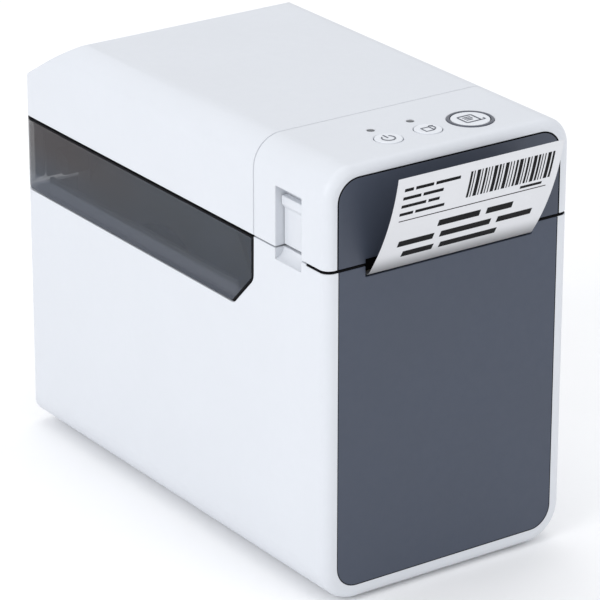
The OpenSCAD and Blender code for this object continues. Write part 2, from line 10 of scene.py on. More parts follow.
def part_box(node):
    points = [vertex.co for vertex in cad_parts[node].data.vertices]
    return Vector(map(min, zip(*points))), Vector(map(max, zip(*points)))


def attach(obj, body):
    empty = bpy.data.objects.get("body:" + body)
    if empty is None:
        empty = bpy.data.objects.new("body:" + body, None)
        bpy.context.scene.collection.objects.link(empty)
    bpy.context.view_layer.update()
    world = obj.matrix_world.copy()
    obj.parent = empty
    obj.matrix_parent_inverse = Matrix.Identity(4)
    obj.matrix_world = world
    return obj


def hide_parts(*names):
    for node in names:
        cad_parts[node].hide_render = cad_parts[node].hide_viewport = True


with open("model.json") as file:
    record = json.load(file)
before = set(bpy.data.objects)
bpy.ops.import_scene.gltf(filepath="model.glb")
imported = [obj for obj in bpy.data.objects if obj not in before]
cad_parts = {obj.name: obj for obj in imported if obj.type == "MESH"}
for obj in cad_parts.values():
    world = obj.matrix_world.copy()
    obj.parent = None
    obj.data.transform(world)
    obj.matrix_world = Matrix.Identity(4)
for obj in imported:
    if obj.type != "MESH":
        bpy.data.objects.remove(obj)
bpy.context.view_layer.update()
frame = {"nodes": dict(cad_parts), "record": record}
nodes = frame["nodes"]

MM = 0.001
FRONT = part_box("base_shell")[0].y
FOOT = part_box("base_shell")[0].z
TOP = (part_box("head_cover")[1].z - FOOT) / MM
BACK = (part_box("base_shell")[1].y - FRONT) / MM


def at(x, d, h):
    """A point x mm from the middle, d mm behind the front face, h mm above the underside."""
    return Vector((x * MM, FRONT + d * MM, FOOT + h * MM))


def middle(node):
    """The centre of a CAD node's box, in metres."""
    low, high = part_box(node)
    return (low + high) / 2


def local(point):
    """The (x, d, h) in mm of a point in metres."""
    return point.x / MM, (point.y - FRONT) / MM, (point.z - FOOT) / MM


# ---- material helpers ------------------------------------------------------


def add(tree, kind, inputs=None, **props):
    """Adds a shader node; an input given as a socket is linked, anything else is set."""
    node = tree.nodes.new("ShaderNode" + kind)
    for key, value in props.items():
        setattr(node, key, value)
    for key, value in (inputs or {}).items():
        if isinstance(value, bpy.types.NodeSocket):
            tree.links.new(value, node.inputs[key])
        else:
            node.inputs[key].default_value = value
    return node


def calc(tree, operation, a, b=0.0, clamp=False):
    """The output of a maths node."""
    return add(tree, "Math", {0: a, 1: b}, operation=operation, use_clamp=clamp).outputs[0]


def remap(tree, value, low, high, to_low=0.0, to_high=1.0):
    """A value carried from one range to another and held at its ends."""
    return add(tree, "MapRange", {"Value": value, "From Min": low, "From Max": high,
                                  "To Min": to_low, "To Max": to_high}).outputs[0]


def tint(tree, share, first, second):
    """A mix of two colours by share; each is a socket or an RGB triple."""
    mix = add(tree, "MixRGB", {"Fac": share})
    for socket, colour in (("Color1", first), ("Color2", second)):
        if isinstance(colour, bpy.types.NodeSocket):
            tree.links.new(colour, mix.inputs[socket])
        else:
            mix.inputs[socket].default_value = (*colour, 1.0)
    return mix.outputs[0]


def noise(tree, where, size_mm, detail=2.0, rough=0.55, distortion=0.0):
    """Noise whose blobs are about size_mm across."""
    return add(tree, "TexNoise", {"Vector": where, "Scale": 1 / (size_mm * MM), "Detail": detail,
                                  "Roughness": rough, "Distortion": distortion}).outputs[0]


def blank(name):
    """A new material, its tree and its main shader."""
    material = bpy.data.materials.new(name)
    material.use_nodes = True
    tree = material.node_tree
    return material, tree, tree.nodes["Principled BSDF"]


def link(tree, shader, **sockets):
    """Feeds shader inputs; an underscore in a name stands for a space."""
    for key, value in sockets.items():
        target = shader.inputs[key.replace("_", " ")]
        if isinstance(value, bpy.types.NodeSocket):
            tree.links.new(value, target)
        elif isinstance(value, tuple):
            target.default_value = (*value, 1.0)
        else:
            target.default_value = value


def scaled(colour, factor):
    """A colour made lighter or darker, with no channel above 1."""
    return tuple(min(1.0, c * factor) for c in colour)


def surface(name, colour, rough, grain_mm=0.4, grain_depth=0.006, drift=0.04, edge_mm=0.3,
            rub=0.35, rub_light=1.12, stretch=(1, 1, 1), fixed=None, rough_spread=0.08):
    """A moulded, painted or cut surface: fine grain, slow drift of shade and gloss, and edges
    that are slightly rounded and rubbed lighter, partly wear and partly a painted highlight.
    Returns the parts that a caller may build on."""
    material, tree, shader = blank(name)
    own = add(tree, "TexCoord").outputs["Object"]
    where = add(tree, "Mapping", {"Vector": own, "Scale": stretch}).outputs[0]
    grain = noise(tree, where, grain_mm, 3.0)
    slow = noise(tree, own, 45.0, 4.0, 0.6)
    patch = noise(tree, own, 4.0, 3.0, 0.7)
    corner = add(tree, "Bevel", {"Radius": edge_mm * MM}, samples=4).outputs[0]
    straight = add(tree, "NewGeometry").outputs["Normal"]
    turn = add(tree, "VectorMath", {0: corner, 1: straight}, operation="DOT_PRODUCT")
    rubbed_and_highlit = calc(tree, "MULTIPLY", remap(tree, turn.outputs["Value"], 0.995, 0.90),
                remap(tree, patch, 0.35, 0.65, 0.3, 1.0))
    shade = tint(tree, remap(tree, slow, 0.3, 0.7), scaled(colour, 1 - drift),
                 scaled(colour, 1 + drift / 2))
    shade = tint(tree, remap(tree, patch, 0.3, 0.7, 0.0, 0.35), shade, scaled(colour, 1 - drift))
    # edges made lighter in colour: partly rubbed wear, partly a painted highlight
    shade = tint(tree, calc(tree, "MULTIPLY", rubbed_and_highlit, rub), shade, scaled(colour, rub_light))
    gloss = remap(tree, patch, 0.3, 0.7, rough - rough_spread / 2, rough + rough_spread / 2)
    gloss = calc(tree, "ADD", gloss, remap(tree, slow, 0.3, 0.7, -rough_spread / 2,
                                           rough_spread / 2))
    gloss = calc(tree, "SUBTRACT", gloss, calc(tree, "MULTIPLY", rubbed_and_highlit, 0.1), clamp=True)
    bump = add(tree, "Bump", {"Height": grain, "Normal": corner, "Strength": 1.0,
                              "Distance": grain_depth * MM}).outputs[0]
    link(tree, shader, Base_Color=shade, Roughness=gloss, Normal=bump)
    for key, value in (fixed or {}).items():
        shader.inputs[key].default_value = value
    return material, tree, shader, {"own": own, "shade": shade, "gloss": gloss, "bump": bump,
                                    "patch": patch}


def plain(*args, **kwargs):
    """A surface's material alone."""
    return surface(*args, **kwargs)[0]


# ---- colours and finishes --------------------------------------------------

WHITE = (0.640, 0.661, 0.698)
SLATE = (0.046, 0.058, 0.088)
# the black of the painted shade in gaps
SHADE_BLACK = (0.006, 0.006, 0.007)
# how much darker the upper panel's slate is painted, as shade
UPPER_SHADE = 0.87

# the side window's slanted edge as (d, h), and the height of the ledge behind the window
SLANT_TOP, SLANT_LOW = (46.9, 117.5), (59.9, 104.2)
LEDGE_H = 111.4
ALPHA_FRONT, ALPHA_REAR = 0.58, 0.70
# the height where the painted shade on the label is darkest, at the mouth of the slot
MOUTH_H = 130.5


def smoked_glass():
    """Smoked clear plastic with matte black painted along its top, front and slant, a painted
    shade standing for the gaps round it. A lighter band below the ledge is painted light for the
    white rim behind the glass, and a warm, darker tint at the upper rear is painted on."""
    material, tree, shader, parts = surface(
        "smoked_window", (0.012, 0.022, 0.040), 0.10, grain_mm=6.0, grain_depth=0.004,
        drift=0.3, edge_mm=0.25, rub=0.5, rub_light=2.5, rough_spread=0.05,
        fixed={"IOR": 1.50, "Specular IOR Level": 0.5})
    low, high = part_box("window_left")
    split = add(tree, "SeparateXYZ", {0: parts["own"]})
    depth, height = split.outputs[1], split.outputs[2]
    slant_top, slant_low = at(0, *SLANT_TOP), at(0, *SLANT_LOW)
    along = (slant_low - slant_top).normalized()
    from_slant = calc(tree, "ADD", calc(tree, "MULTIPLY", depth, -along.z),
                      calc(tree, "MULTIPLY", height, along.y))
    start = -along.z * slant_top.y + along.y * slant_top.z
    # painted shade: matte black along the top, front and slant stands for the shade in the gaps
    # round the window
    edges = [calc(tree, "GREATER_THAN", height, high.z - 0.7 * MM),
             calc(tree, "LESS_THAN", depth, low.y + 1.0 * MM),
             calc(tree, "LESS_THAN", from_slant, start + 0.9 * MM)]
    gap_shade_mask = calc(tree, "MAXIMUM", calc(tree, "MAXIMUM", edges[0], edges[1]), edges[2])
    clear = remap(tree, depth, at(0, 70, 0).y, at(0, 195, 0).y,
                  ALPHA_FRONT, ALPHA_REAR)
    ledge = at(0, 0, LEDGE_H).z
    # painted light: a lighter band below the ledge stands for the lit white rim behind the glass
    painted_rim_light = remap(tree, height, ledge + 0.3 * MM, ledge - 0.3 * MM)
    warm = calc(tree, "MULTIPLY", remap(tree, depth, at(0, 110, 0).y, at(0, 175, 0).y),
                remap(tree, height, ledge, ledge + 14 * MM))
    shade = tint(tree, warm, parts["shade"], (0.016, 0.010, 0.013))
    shade = tint(tree, painted_rim_light, shade, (0.050, 0.062, 0.088))
    link(tree, shader, Alpha=clear, Base_Color=shade)
    gap_shade_surface = add(tree, "BsdfPrincipled", {
        "Base Color": tint(tree, parts["patch"], SHADE_BLACK, scaled(SHADE_BLACK, 1.8)),
        "Roughness": parts["gloss"], "Specular IOR Level": 0.02})
    both = add(tree, "MixShader", {0: gap_shade_mask})
    tree.links.new(shader.outputs[0], both.inputs[1])
    tree.links.new(gap_shade_surface.outputs[0], both.inputs[2])
    tree.links.new(both.outputs[0], tree.nodes["Material Output"].inputs["Surface"])
    return material


def paper_roll(name, centre, dark):
    """Wound paper: the ends show the layers, the outside shows the die-cut labels."""
    material, tree, shader, parts = surface(
        name, (0.70, 0.69, 0.66), 0.62, grain_mm=0.5, grain_depth=0.01, drift=0.05,
        edge_mm=0.2, rub=0.2)
    split = add(tree, "SeparateXYZ", {0: parts["own"]})
    y = calc(tree, "SUBTRACT", split.outputs[1], centre.y)
    z = calc(tree, "SUBTRACT", split.outputs[2], centre.z)
    radius = calc(tree, "SQRT", calc(tree, "ADD", calc(tree, "MULTIPLY", y, y),
                                     calc(tree, "MULTIPLY", z, z)))
    turn = calc(tree, "ARCTAN2", z, y)
    winding = calc(tree, "ADD", radius, calc(tree, "MULTIPLY", turn, 0.00004))
    streaks = add(tree, "TexNoise", {"W": calc(tree, "MULTIPLY", winding, 2600.0), "Detail": 3.0},
                  noise_dimensions="1D").outputs[0]
    wide = add(tree, "TexNoise", {"W": calc(tree, "MULTIPLY", winding, 420.0), "Detail": 2.0},
               noise_dimensions="1D").outputs[0]
    normal = add(tree, "SeparateXYZ", {0: add(tree, "NewGeometry").outputs["Normal"]})
    end_face = remap(tree, calc(tree, "ABSOLUTE", normal.outputs[0]), 0.6, 0.9)
    layers = calc(tree, "MULTIPLY", remap(tree, streaks, 0.3, 0.7), 0.6)
    layers = calc(tree, "ADD", layers, calc(tree, "MULTIPLY", remap(tree, wide, 0.3, 0.7), 0.4))
    ends = tint(tree, layers, dark, (0.74, 0.73, 0.70))
    share = calc(tree, "FRACT", calc(tree, "MULTIPLY", turn, 14 / (2 * math.pi)))
    cut = calc(tree, "LESS_THAN", share, 0.085)
    edge = calc(tree, "GREATER_THAN", calc(tree, "ABSOLUTE", split.outputs[0]), 36.0 * MM)
    liner = calc(tree, "MAXIMUM", cut, edge)
    outside = tint(tree, liner, parts["shade"], (0.60, 0.55, 0.42))
    link(tree, shader, Base_Color=tint(tree, end_face, outside, ends))
    bump = add(tree, "Bump", {"Height": calc(tree, "MULTIPLY", layers, end_face),
                              "Normal": parts["bump"], "Strength": 0.8,
                              "Distance": 0.06 * MM}).outputs[0]
    link(tree, shader, Normal=bump)
    return material


def circuit_board():
    """Green solder mask over faint tracks, with tinned pads."""
    material, tree, shader, parts = surface(
        "board", (0.018, 0.115, 0.055), 0.32, grain_mm=0.3, grain_depth=0.003, drift=0.2,
        edge_mm=0.15, rub=0.4, rub_light=2.0)
    cell = {"Vector": parts["own"], "Scale": 260.0}
    lines = add(tree, "TexVoronoi", cell, feature="DISTANCE_TO_EDGE").outputs[0]
    dots = add(tree, "TexVoronoi", dict(cell, Scale=430.0), distance="CHEBYCHEV").outputs[0]
    track = remap(tree, lines, 0.05, 0.03)
    pad = remap(tree, dots, 0.16, 0.13)
    shade = tint(tree, track, parts["shade"], (0.035, 0.19, 0.08))
    link(tree, shader, Base_Color=tint(tree, pad, shade, (0.62, 0.60, 0.55)), Metallic=pad)
    return material


def card():
    """Wound grey board for the core of the roll."""
    material, tree, shader, parts = surface(
        "card", (0.36, 0.25, 0.15), 0.85, grain_mm=0.8, grain_depth=0.05, drift=0.18,
        edge_mm=0.3, rub=0.4, stretch=(0.25, 1, 1))
    fibre = noise(tree, parts["own"], 0.9, 4.0, 0.8, 1.5)
    link(tree, shader, Base_Color=tint(tree, remap(tree, fibre, 0.45, 0.75), parts["shade"],
                                       (0.50, 0.39, 0.26)))
    return material


def ceramic_head():
    """Glazed heater strip: pale substrate with a brown glaze line over the heaters."""
    material, tree, shader, parts = surface(
        "head_ceramic", (0.62, 0.60, 0.54), 0.22, grain_mm=0.6, grain_depth=0.003, drift=0.05,
        edge_mm=0.2, fixed={"Coat Weight": 0.4, "Coat Roughness": 0.08})
    depth = add(tree, "SeparateXYZ", {0: parts["own"]}).outputs[1]
    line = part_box("print_head")[0].y + 5.5 * MM
    near = remap(tree, calc(tree, "ABSOLUTE", calc(tree, "SUBTRACT", depth, line)),
                 1.1 * MM, 0.9 * MM)
    gold = remap(tree, depth, line + 6.0 * MM, line + 6.3 * MM)
    shade = tint(tree, near, parts["shade"], (0.10, 0.045, 0.02))
    link(tree, shader, Base_Color=tint(tree, gold, shade, (0.40, 0.25, 0.06)))
    return material


def label_paper():
    """Bright coated thermal paper with very fine fibres, with shade painted on in grey at the
    slot.
    """
    material, tree, shader, parts = surface(
        "paper", (0.668, 0.676, 0.700), 0.42, grain_mm=0.35, grain_depth=0.004, drift=0.02,
        edge_mm=0.1, rub=0.1, fixed={"Coat Weight": 0.1, "Coat Roughness": 0.25})
    fibre = noise(tree, parts["own"], 1.2, 5.0, 0.75, 2.0)
    shade = tint(tree, remap(tree, fibre, 0.5, 0.8, 0.0, 0.35), parts["shade"],
                 (0.63, 0.63, 0.64))
    height = add(tree, "SeparateXYZ", {0: parts["own"]}).outputs[2]
    mouth = at(0, 0, MOUTH_H).z
    # painted shade: the label greys towards the mouth of the slot
    painted_slot_shade = add(tree, "MapRange", {"Value": height, "From Min": mouth - 1 * MM,
                                  "From Max": mouth + 9 * MM, "To Min": 0.85,
                                  "To Max": 0.0}, interpolation_type="SMOOTHSTEP").outputs[0]
    link(tree, shader, Base_Color=tint(tree, painted_slot_shade, shade, (0.12, 0.12, 0.125)))
    return material


def metal(name, colour, rough, stretch, depth=0.004, grain_mm=0.5):
    """Bare metal with its grain drawn out by stretch."""
    return plain(name, colour, rough, grain_mm=grain_mm, grain_depth=depth, drift=0.08,
                 edge_mm=0.2, rub=0.6, rub_light=1.25, stretch=stretch, rough_spread=0.16,
                 fixed={"Metallic": 1.0})


def slate(name, colour):
    """The matte grey of the front panels."""
    return plain(name, colour, 0.52, grain_mm=0.55, grain_depth=0.030, drift=0.06, edge_mm=0.35,
                 rub=0.5, rub_light=1.5)


ROLL_CENTRE = middle("label_roll")
FINISH = {
    "white_plastic": plain("white_plastic", WHITE, 0.42, grain_mm=0.45, grain_depth=0.010,
                           drift=0.018, edge_mm=0.5, rub=0.5, rub_light=1.05),
    "slate_plastic": slate("slate_plastic", SLATE),
    "ring_plastic": plain("ring_plastic", (0.072, 0.080, 0.105), 0.28, grain_mm=0.5,
                          grain_depth=0.004, drift=0.08, edge_mm=0.2, rub=0.4, rub_light=1.6),
    "key_plastic": plain("key_plastic", (0.700, 0.722, 0.760), 0.36, grain_mm=0.35,
                         grain_depth=0.005, drift=0.02, edge_mm=0.3, rub=0.5, rub_light=1.08),
    "smoked_window": smoked_glass(),
    "grey_plastic": plain("grey_plastic", (0.185, 0.195, 0.212), 0.50, grain_mm=0.5,
                          grain_depth=0.014, drift=0.06, edge_mm=0.35, rub=0.5, rub_light=1.3),
    "gear_plastic": plain("gear_plastic", (0.74, 0.73, 0.67), 0.36, grain_mm=0.6,
                          grain_depth=0.004, drift=0.05, edge_mm=0.15, rub=0.4,
                          fixed={"Subsurface Weight": 0.15, "Subsurface Scale": 0.001}),
    "black_plastic": plain("black_plastic", (0.018, 0.018, 0.020), 0.45, grain_mm=0.4,
                           grain_depth=0.010, drift=0.25, edge_mm=0.2, rub=0.5, rub_light=3.0),
    "lens": plain("lens", (0.045, 0.052, 0.062), 0.12, grain_mm=1.5, grain_depth=0.004,
                  drift=0.2, edge_mm=0.2, fixed={"Coat Weight": 0.6, "Coat Roughness": 0.05}),
    "soft_rubber": plain("soft_rubber", (0.022, 0.022, 0.024), 0.78, grain_mm=0.35,
                         grain_depth=0.02, drift=0.3, edge_mm=0.4, rub=0.6, rub_light=2.2),
    "zinc_steel": metal("zinc_steel", (0.56, 0.565, 0.57), 0.32, (0.06, 1, 1)),
    "motor_steel": plain("motor_steel", (0.016, 0.016, 0.018), 0.38, grain_mm=0.7,
                         grain_depth=0.02, drift=0.3, edge_mm=0.3, rub=0.8, rub_light=9.0),
    "brass_pinion": metal("brass_pinion", (0.72, 0.52, 0.22), 0.24, (1, 0.1, 0.1)),
    "cast_alloy": metal("cast_alloy", (0.58, 0.585, 0.60), 0.42, (1, 1, 1), depth=0.02,
                        grain_mm=0.7),
    "head_ceramic": ceramic_head(),
    "board": circuit_board(),
    "paper": label_paper(),
    "card": card(),
}
# painted shade: the upper panel is the same slate as the lower one, painted darker
SHADED_UPPER_SLATE = slate("slate_upper", scaled(SLATE, UPPER_SHADE))
# painted shade: a black for strips that stand for the shade in gaps
GAP_SHADE = plain("gasket", SHADE_BLACK, 0.9, grain_mm=0.5, grain_depth=0.01, drift=0.3, edge_mm=0.1,
               rub=0.1, fixed={"Specular IOR Level": 0.03})
ROLL_PAPER = paper_roll("roll_paper", ROLL_CENTRE, (0.50, 0.48, 0.43))
INK = plain("ink", (0.005, 0.005, 0.006), 0.6, grain_mm=0.3, grain_depth=0.003, drift=0.4,
            edge_mm=0.05, rub=0.2, rub_light=2.0, fixed={"Specular IOR Level": 0.12})
ICON = plain("icon_print", (0.085, 0.092, 0.115), 0.5, grain_mm=0.3, grain_depth=0.003,
             drift=0.1, edge_mm=0.05, rub=0.2)
LINER = plain("liner", (0.62, 0.56, 0.42), 0.45, grain_mm=0.8, grain_depth=0.006, drift=0.06,
              edge_mm=0.1, rub=0.1)
COPPER_FOIL = plain("flex_foil", (0.55, 0.26, 0.06), 0.3, grain_mm=0.8, grain_depth=0.006,
                    drift=0.15, edge_mm=0.1, rub=0.3)
CAD_SLOT = {s["node"]: s["material_slot"] for s in frame["record"]["subparts"]}

for name, obj in nodes.items():
    finish = SHADED_UPPER_SLATE if name == "front_panel_upper" else FINISH[CAD_SLOT[name]]
    if obj.material_slots:
        for spot in obj.material_slots:
            spot.material = finish
    else:
        obj.data.materials.append(finish)


# ---- mesh helpers ----------------------------------------------------------


WELD_MM, FLAT_DEG, SHARP_DEG = 0.002, 0.4, 35.0


def soften(obj, width_mm):
    """Rounds the sharp edges of a CAD node by modifiers, leaving its mesh data alone."""
    weld = obj.modifiers.new("weld", "WELD")
    weld.merge_threshold = WELD_MM * MM
    flat = obj.modifiers.new("flat", "DECIMATE")
    flat.decimate_type = "DISSOLVE"
    flat.angle_limit = math.radians(FLAT_DEG)
    bevel = obj.modifiers.new("bevel", "BEVEL")
    bevel.width = width_mm * MM
    bevel.segments = 2
    bevel.limit_method = "ANGLE"
    bevel.angle_limit = math.radians(SHARP_DEG)
    bevel.use_clamp_overlap = False
    bevel.miter_outer = "MITER_ARC"
    even = obj.modifiers.new("even", "WEIGHTED_NORMAL")
    even.keep_sharp = False
    even.weight = 90


def place(obj, body, replaced=()):
    """Puts a piece on its body, and hides the CAD nodes it stands for."""
    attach(obj, body)
    if replaced:
        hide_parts(*replaced)


def build(name, verts, faces, material, smooth_angle=SHARP_DEG):
    """A mesh object, smooth but for edges sharper than smooth_angle degrees."""
    mesh = bpy.data.meshes.new(name)
    mesh.from_pydata([tuple(v) for v in verts], [], faces)
    work = bmesh.new()
    work.from_mesh(mesh)
    bmesh.ops.recalc_face_normals(work, faces=work.faces)
    work.to_mesh(mesh)
    work.free()
    obj = bpy.data.objects.new(name, mesh)
    bpy.context.scene.collection.objects.link(obj)
    mesh.materials.append(material)
    for face in mesh.polygons:
        face.use_smooth = True
    mesh.set_sharp_from_angle(angle=math.radians(smooth_angle))
    return obj


def fillet(points, radius, steps=5, closed=True):
    """A polyline with its corners turned into arcs; radius is one number or one a corner."""
    count = len(points)
    result = []
    for i, point in enumerate(points):
        r = radius[i] if isinstance(radius, (list, tuple)) else radius
        if r <= 0 or (not closed and i in (0, count - 1)):
            result.append(tuple(point))
            continue
        here = Vector(point)
        back = (Vector(points[i - 1]) - here).normalized()
        ahead = (Vector(points[(i + 1) % count]) - here).normalized()
        half = math.acos(max(-1.0, min(1.0, back.dot(ahead)))) / 2
        if half > math.radians(89):
            result.append(tuple(point))
            continue
        reach = r / math.tan(half)
        centre = here + (back + ahead).normalized() * (r / math.sin(half))
        first, last = here + back * reach - centre, here + ahead * reach - centre
        sweep = math.atan2(first.x * last.y - first.y * last.x, first.dot(last))
        for k in range(steps + 1):
            a = sweep * k / steps
            result.append((centre.x + first.x * math.cos(a) - first.y * math.sin(a),
                           centre.y + first.x * math.sin(a) + first.y * math.cos(a)))
    return result


AXES = {"x": (Vector((0, 1, 0)), Vector((0, 0, 1)), Vector((1, 0, 0))),
        "y": (Vector((0, 0, 1)), Vector((1, 0, 0)), Vector((0, 1, 0))),
        "z": (Vector((1, 0, 0)), Vector((0, 1, 0)), Vector((0, 0, 1)))}


def turned(profile, centre, axis="z", steps=64):
    """Verts and faces of a turned solid; profile holds (radius, along) in mm. A profile that
    starts and ends on the axis is closed by its ends, any other is a closed loop."""
    first, second, along = AXES[axis]
    verts, rings = [], []
    for r, a in profile:
        base = centre + along * (a * MM)
        if r < 1e-6:
            rings.append([len(verts)])
            verts.append(base)
            continue
        rings.append(list(range(len(verts), len(verts) + steps)))
        for k in range(steps):
            t = 2 * math.pi * k / steps
            verts.append(base + (first * math.cos(t) + second * math.sin(t)) * (r * MM))
    pairs = list(zip(rings, rings[1:]))
    if len(rings[0]) > 1:
        pairs.append((rings[-1], rings[0]))
    faces = []
    for one, two in pairs:
        for k in range(steps):
            n = (k + 1) % steps
            if len(one) == 1 and len(two) > 1:
                faces.append((one[0], two[k], two[n]))
            elif len(two) == 1 and len(one) > 1:
                faces.append((one[k], two[0], one[n]))
            elif len(one) > 1:
                faces.append((one[k], two[k], two[n], one[n]))
    return verts, faces


def join(*groups):
    """Several pairs of verts and faces as one."""
    verts, faces = [], []
    for more_verts, more_faces in groups:
        shift = len(verts)
        verts += more_verts
        faces += [tuple(i + shift for i in face) for face in more_faces]
    return verts, faces


def sleeve(inner, outer, half, radius, steps):
    """The profile of a plain ring, for turned, with rounded edges."""
    return fillet([(inner, -half), (outer, -half), (outer, half), (inner, half)], radius, steps)


def tube(points, radius_mm, sides):
    """Verts and faces of a round wire along points in metres, closed flat at its ends."""
    verts, faces = [], []
    count = len(points)
    up = Vector((0.13, 0.31, 0.94)).normalized()
    for i, point in enumerate(points):
        ahead = points[i + 1] if i < count - 1 else point
        back = points[i - 1] if i > 0 else point
        run = (ahead - back).normalized()
        side = run.cross(up).normalized()
        over = side.cross(run).normalized()
        for k in range(sides):
            t = 2 * math.pi * k / sides
            verts.append(point + (side * math.cos(t) + over * math.sin(t)) * (radius_mm * MM))
    for i in range(count - 1):
        for k in range(sides):
            a, b = i * sides + k, i * sides + (k + 1) % sides
            faces.append((a, b, b + sides, a + sides))
    faces.append(tuple(range(sides)))
    faces.append(tuple(range((count - 1) * sides, count * sides)))
    return verts, faces


def ribbon(line, width, low, high, closed=False):
    """Verts and faces of a flat stroke on a level face: line holds (x, d) in mm."""
    verts, faces = [], []
    count = len(line)
    for i, point in enumerate(line):
        here = Vector(point)
        ahead = Vector(line[(i + 1) % count]) if closed or i < count - 1 else here
        back = Vector(line[i - 1]) if closed or i > 0 else here
        run = (ahead - back).normalized()
        side = Vector((-run.y, run.x)) * (width / 2)
        for s, h in ((1, low), (-1, low), (-1, high), (1, high)):
            spot = here + side * s
            verts.append(at(spot.x, spot.y, h))
    for i in range(count if closed else count - 1):
        a, b = i * 4, ((i + 1) % count) * 4
        for k in range(4):
            n = (k + 1) % 4
            faces.append((a + k, a + n, b + n, b + k))
    if not closed:
        faces.append((0, 1, 2, 3))
        faces.append(tuple(range(count * 4 - 4, count * 4)))
    return verts, faces


# ---- housing: soft edges on the CAD shells --------------------------------

# the base shell's rear is pierced by rows of holes, so its edges are rounded by its finish alone
for name, width in {
        "lid_cover": 0.35, "head_cover": 0.35, "front_panel_lower": 0.3,
        "front_panel_upper": 0.3, "window_left": 0.25, "window_right": 0.25,
        "release_left": 0.3, "release_right": 0.3, "media_tray": 0.3, "bottom_plate": 0.3,
        "lid_frame": 0.3, "guide_left": 0.25, "guide_right": 0.25}.items():
    soften(nodes[name], width)


# ---- label: the web from the roll and the printed label outside ------------

LABEL_HALF = (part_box("label_web")[1].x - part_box("label_web")[0].x) / 2 / MM
TIP_D = local(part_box("label_web")[0])[1]
_, roll_d, roll_h = local(ROLL_CENTRE)
ROLL_R = (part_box("label_roll")[1].z - ROLL_CENTRE.z) / MM


def smooth_line(points, per=8):
    """A Catmull-Rom line through (d, h) points."""
    result = []
    padded = [points[0]] + list(points) + [points[-1]]
    for i in range(1, len(padded) - 2):
        p0, p1, p2, p3 = (Vector(padded[i + k]) for k in (-1, 0, 1, 2))
        for k in range(per):
            t = k / per
            result.append(0.5 * (2 * p1 + (p2 - p0) * t + (2 * p0 - 5 * p1 + 4 * p2 - p3) * t * t
                                 + (3 * p1 - p0 - 3 * p2 + p3) * t ** 3))
    result.append(Vector(points[-1]))
    return result


def lengths(line):
    """The distance along a line to each of its points."""
    total = [0.0]
    for a, b in zip(line, line[1:]):
        total.append(total[-1] + (b - a).length)
    return total


def on_line(line, run, s):
    """The point and the outward normal of a line at distance s along it."""
    i = 0
    while i < len(line) - 2 and run[i + 1] < s:
        i += 1
    t = (s - run[i]) / (run[i + 1] - run[i])
    along = (line[i + 1] - line[i]).normalized()
    return line[i].lerp(line[i + 1], t), Vector((along.y, -along.x))


def strip(line, half, low, high, columns):
    """A thin sheet along a (d, h) line, from offset low to offset high, half wide each way."""
    run = lengths(line)
    verts, faces = [], []
    for i, s in enumerate(run):
        point, normal = on_line(line, run, min(s, run[-1] - 1e-6))
        for offset in (low, high):
            for c in range(columns + 1):
                x = -half + 2 * half * c / columns
                spot = point + normal * offset
                verts.append(at(x, spot.x, spot.y))
    row = 2 * (columns + 1)
    for i in range(len(run) - 1):
        a, b = i * row, (i + 1) * row
        top = columns + 1
        for c in range(columns):
            faces.append((a + c, a + c + 1, b + c + 1, b + c))
            faces.append((a + top + c, b + top + c, b + top + c + 1, a + top + c + 1))
        faces.append((a, b, b + top, a + top))
        faces.append((a + columns, a + top + columns, b + top + columns, b + columns))
    last = (len(run) - 1) * row
    for base in (0, last):
        faces.append(tuple(base + c for c in range(columns + 1))
                     + tuple(base + columns + 1 + c for c in reversed(range(columns + 1))))
    return verts, faces


# the label bends up out of the slot, then curls; angles are turned from lying flat
LINER_T, LABEL_T = 0.18, 0.16
platen_top = local(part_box("platen_rubber")[1])[2] + 0.35
SLOT_H = 130.2
TIP_BELOW_TOP = 0.7
BEND_R, BEND_TURN, CURL_END = 2.4, math.radians(55), math.radians(79)
CURL_R = ((TOP - TIP_BELOW_TOP - SLOT_H - BEND_R * (1 - math.cos(BEND_TURN)))
          / (math.cos(BEND_TURN) - math.cos(CURL_END)))
SLOT_D = (CURL_R * (math.sin(CURL_END) - math.sin(BEND_TURN)) + BEND_R * math.sin(BEND_TURN)
          + TIP_D)


def arc_line(centre, r, start, stop, count):
    """(d, h) points of an arc; its angles start straight below the centre and run forward."""
    return [Vector((centre[0] - r * math.sin(start + (stop - start) * k / count),
                    centre[1] - r * math.cos(start + (stop - start) * k / count)))
            for k in range(count + 1)]


bend_centre = (SLOT_D, SLOT_H + BEND_R)
curl_centre = (bend_centre[0] + (CURL_R - BEND_R) * math.sin(BEND_TURN),
               bend_centre[1] + (CURL_R - BEND_R) * math.cos(BEND_TURN))
# the web leaves the roll, then runs over the rod and the platen to the slot
LEAVE_FORWARD = 10.8
LEAVE = (roll_d - LEAVE_FORWARD,
         roll_h + math.sqrt((ROLL_R + 0.3) ** 2 - LEAVE_FORWARD ** 2))
ROD = (44.0, 129.5)
INNER = [tuple(Vector(LEAVE).lerp(Vector(ROD), t)) for t in (0.0, 0.3, 0.6, 0.85)]
INNER += [ROD, (37.0, 129.9), (28.0, 131.2), (20.0, platen_top + 0.15), (14.0, platen_top),
          (7.0, SLOT_H + 0.5), (3.4, SLOT_H + 0.05)]
inner_line = smooth_line(INNER, 6)
label_line = ([Vector((3.4, SLOT_H + 0.02))]
              + arc_line(bend_centre, BEND_R, 0.0, BEND_TURN, 10)
              + arc_line(curl_centre, CURL_R, BEND_TURN, CURL_END, 44)[1:])
web = build("web_liner", *strip(inner_line, LABEL_HALF, 0.0, LINER_T, 2), LINER)
place(web, "base", ["label_web"])
label = build("printed_label", *strip(label_line, LABEL_HALF, 0.0, LABEL_T, 6),
              FINISH["paper"])
place(label, "base")

label_run = lengths(label_line)
SHEET = label_run[-1]


